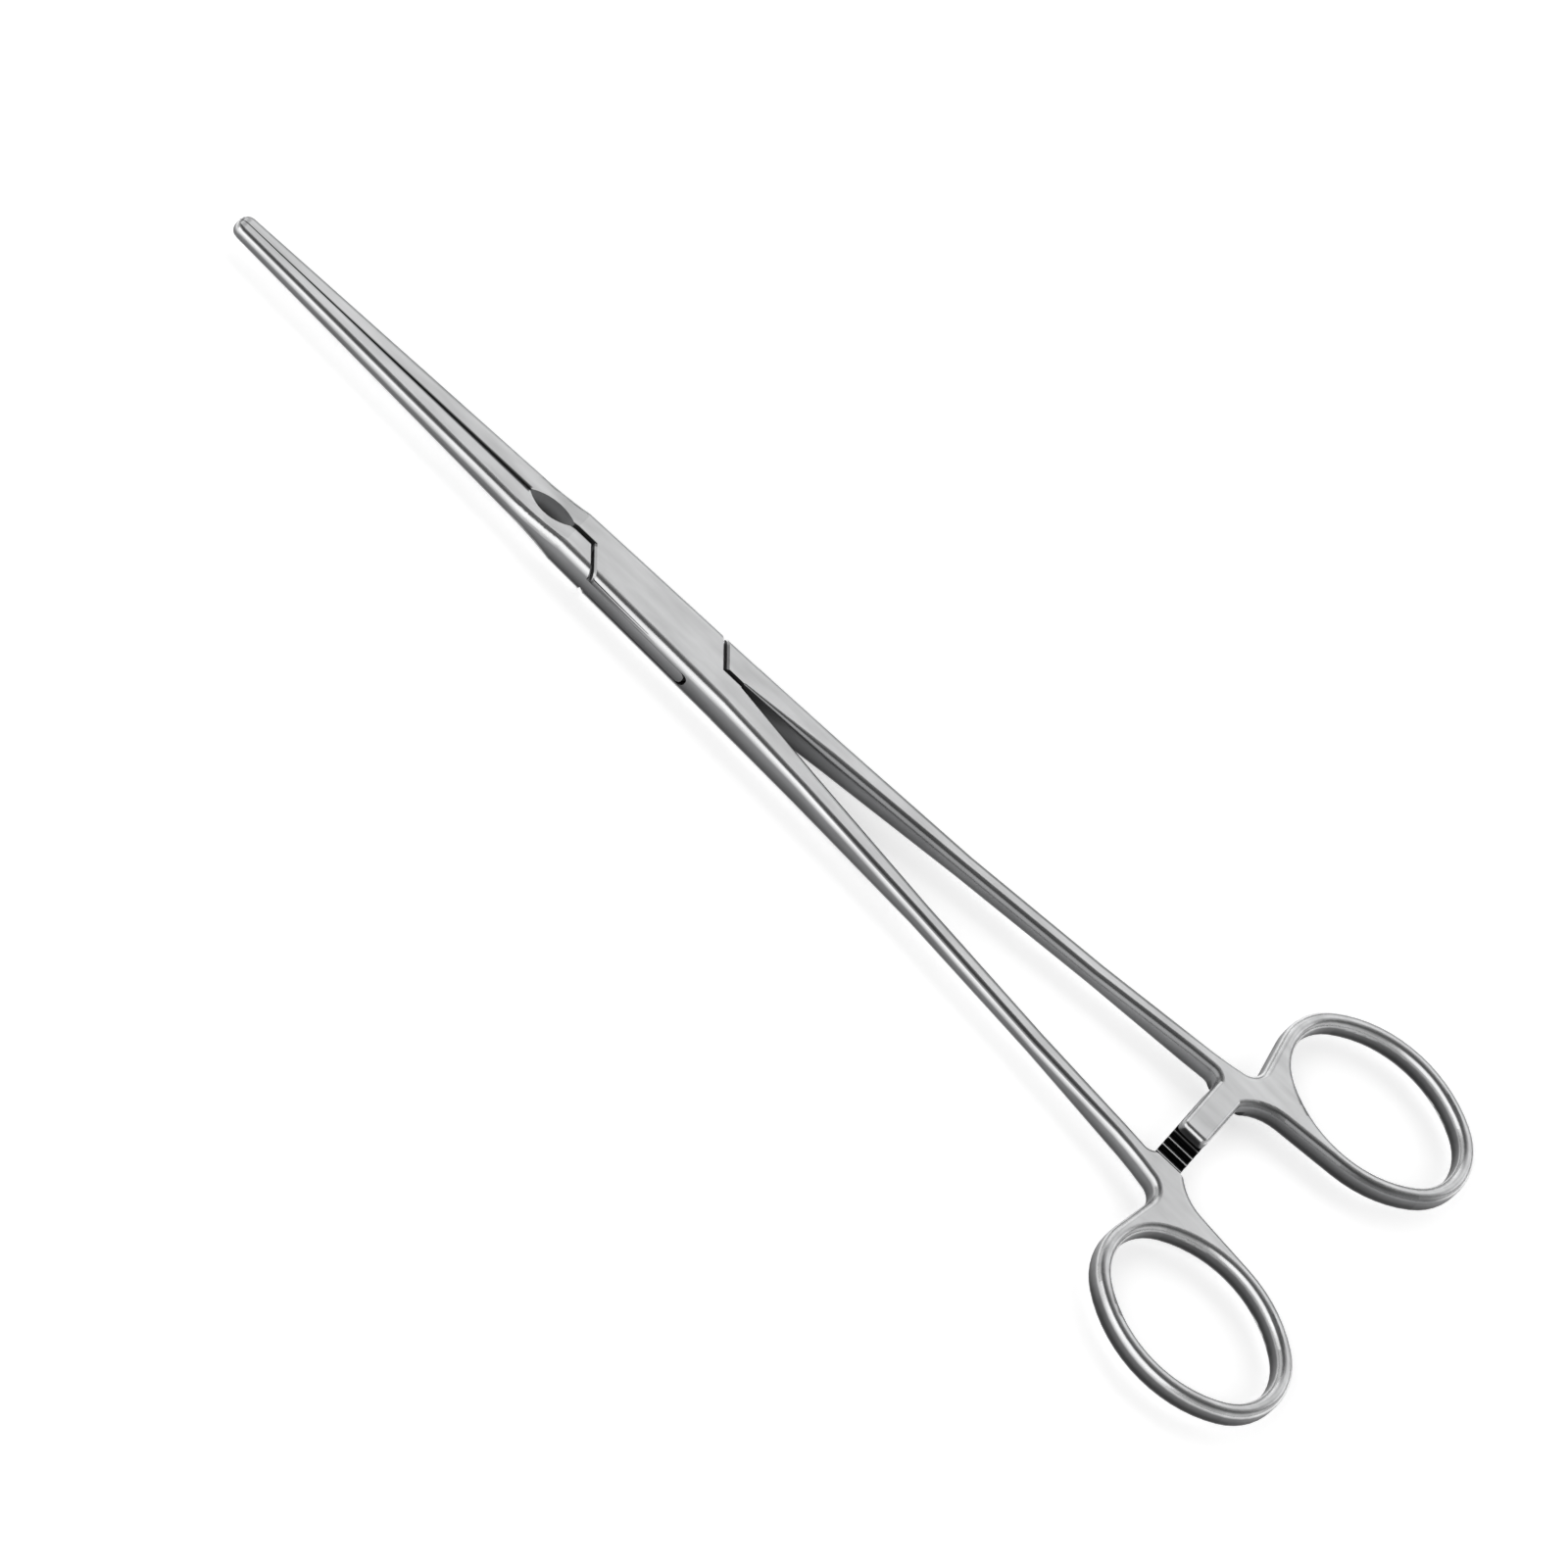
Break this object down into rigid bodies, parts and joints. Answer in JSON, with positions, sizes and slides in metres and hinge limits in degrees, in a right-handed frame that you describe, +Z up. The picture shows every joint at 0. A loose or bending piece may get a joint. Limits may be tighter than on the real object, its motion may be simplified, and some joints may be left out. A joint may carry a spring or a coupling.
{
  "type": "coarctation clamp",
  "caption": "Straight box-lock vessel clamp with long slender jaws, an eye before the lock, finger rings and a toothed ratchet.",
  "frame": {"origin": "on the pivot axis, at the flat underside of the lock", "axes": "+X from the pivot to the finger rings, +Y across the instrument towards the core half's handle, +Z up through the lock, away from the face it lies on"},
  "size_m": [0.2191, 0.0768, 0.0052],
  "materials": {
    "satin_steel": "fine satin, evenly blasted and lightly polished on the edges",
    "rivet_steel": "ground flush and satin like the lock"
  },
  "bodies": {
    "box_side": {"box_half": "satin_steel", "pivot_rivet": "rivet_steel"},
    "core_side": {"core_half": "satin_steel"}
  },
  "joints": [
    {"name": "lock_hinge", "type": "hinge", "parent": "box_side", "child": "core_side", "pos_m": [0, 0, 0.0026], "axis": [0, 0, 1], "range_deg": [0, 40]}
  ]
}
